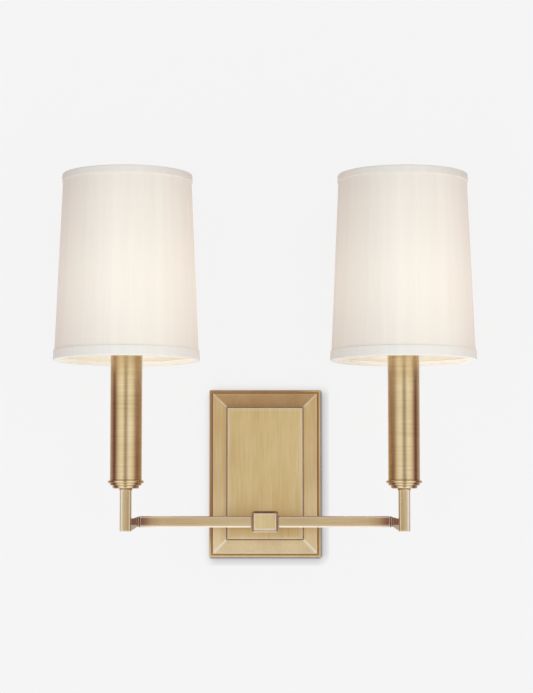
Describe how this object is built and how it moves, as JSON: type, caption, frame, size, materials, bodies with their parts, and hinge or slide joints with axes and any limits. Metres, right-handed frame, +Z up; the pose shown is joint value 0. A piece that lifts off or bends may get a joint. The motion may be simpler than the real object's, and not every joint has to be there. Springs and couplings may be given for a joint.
{
  "type": "double arm wall sconce",
  "caption": "Wall sconce with a bevelled brass plate, a square tube arm each side, round candle sleeves and tapered cloth shades that turn on their sockets.",
  "frame": {"origin": "on the wall, at the centre of the wall plate and of the mounting strap", "axes": "+X to the right as a viewer faces the wall, +Y into the wall, +Z up"},
  "size_m": [0.4226, 0.162, 0.3827],
  "materials": {
    "antique_brass": "brushed, warm antique",
    "zinc_steel": "zinc plated",
    "fastener_steel": "bright zinc",
    "raw_brass": "plain turned",
    "black_phenolic": "moulded phenolic",
    "shade_cloth": "off-white slubbed faux silk",
    "shade_tape": "bias tape of the same cloth",
    "shade_liner": "cream styrene sheet",
    "shade_wire": "white powder coat",
    "frosted_glass": "frosted",
    "bulb_cap": "rolled sheet",
    "solder": "soft solder",
    "tungsten": "drawn wire",
    "lead_black": "insulated wire",
    "lead_white": "insulated wire",
    "nut_plastic": "moulded",
    "bare_copper": "bare copper"
  },
  "bodies": {
    "fixture": {"backplate": "antique_brass", "mounting_strap": "zinc_steel", "plate_screws": "fastener_steel", "ground_screw": "raw_brass", "ground_wire": "bare_copper", "wire_nuts": "nut_plastic", "stub_arm": "antique_brass", "stub_nipple": "raw_brass", "stub_nut": "fastener_steel", "hub_block": "antique_brass", "nipple_nuts": "fastener_steel", "socket_screws": "fastener_steel", "left_arm": "antique_brass", "left_joint_collar": "antique_brass", "left_elbow_link": "antique_brass", "left_stem": "antique_brass", "left_cup": "antique_brass", "left_cup_nipple": "raw_brass", "left_candle_sleeve": "antique_brass", "left_socket_bracket": "zinc_steel", "left_socket_body": "black_phenolic", "left_socket_shell": "raw_brass", "left_socket_contact": "raw_brass", "left_hot_lead": "lead_black", "left_neutral_lead": "lead_white", "right_arm": "antique_brass", "right_joint_collar": "antique_brass", "right_elbow_link": "antique_brass", "right_stem": "antique_brass", "right_cup": "antique_brass", "right_cup_nipple": "raw_brass", "right_candle_sleeve": "antique_brass", "right_socket_bracket": "zinc_steel", "right_socket_body": "black_phenolic", "right_socket_shell": "raw_brass", "right_socket_contact": "raw_brass", "right_hot_lead": "lead_black", "right_neutral_lead": "lead_white"},
    "left_shade": {"left_shade_fitter": "shade_wire", "left_shade_top_ring": "shade_wire", "left_shade_liner": "shade_liner", "left_shade_fabric": "shade_cloth", "left_shade_top_trim": "shade_tape", "left_shade_bottom_trim": "shade_tape"},
    "left_ring": {"left_ring_nut": "black_phenolic"},
    "left_bulb": {"left_bulb_glass": "frosted_glass", "left_bulb_base": "bulb_cap", "left_bulb_tip": "solder", "left_bulb_filament": "tungsten"},
    "right_shade": {"right_shade_fitter": "shade_wire", "right_shade_top_ring": "shade_wire", "right_shade_liner": "shade_liner", "right_shade_fabric": "shade_cloth", "right_shade_top_trim": "shade_tape", "right_shade_bottom_trim": "shade_tape"},
    "right_ring": {"right_ring_nut": "black_phenolic"},
    "right_bulb": {"right_bulb_glass": "frosted_glass", "right_bulb_base": "bulb_cap", "right_bulb_tip": "solder", "right_bulb_filament": "tungsten"}
  },
  "joints": [
    {"name": "left_shade_turn", "type": "hinge", "parent": "fixture", "child": "left_shade", "pos_m": [-0.1381, -0.0889, 0.121], "axis": [0, 0, 1], "continuous": true},
    {"name": "left_ring_turn", "type": "hinge", "parent": "fixture", "child": "left_ring", "pos_m": [-0.1381, -0.0889, 0.121], "axis": [0, 0, 1], "continuous": true},
    {"name": "left_bulb_turn", "type": "hinge", "parent": "fixture", "child": "left_bulb", "pos_m": [-0.1381, -0.0889, 0.121], "axis": [0, 0, 1], "range_deg": [0, 1260]},
    {"name": "right_shade_turn", "type": "hinge", "parent": "fixture", "child": "right_shade", "pos_m": [0.1381, -0.0889, 0.121], "axis": [0, 0, 1], "continuous": true},
    {"name": "right_ring_turn", "type": "hinge", "parent": "fixture", "child": "right_ring", "pos_m": [0.1381, -0.0889, 0.121], "axis": [0, 0, 1], "continuous": true},
    {"name": "right_bulb_turn", "type": "hinge", "parent": "fixture", "child": "right_bulb", "pos_m": [0.1381, -0.0889, 0.121], "axis": [0, 0, 1], "range_deg": [0, 1260]}
  ]
}
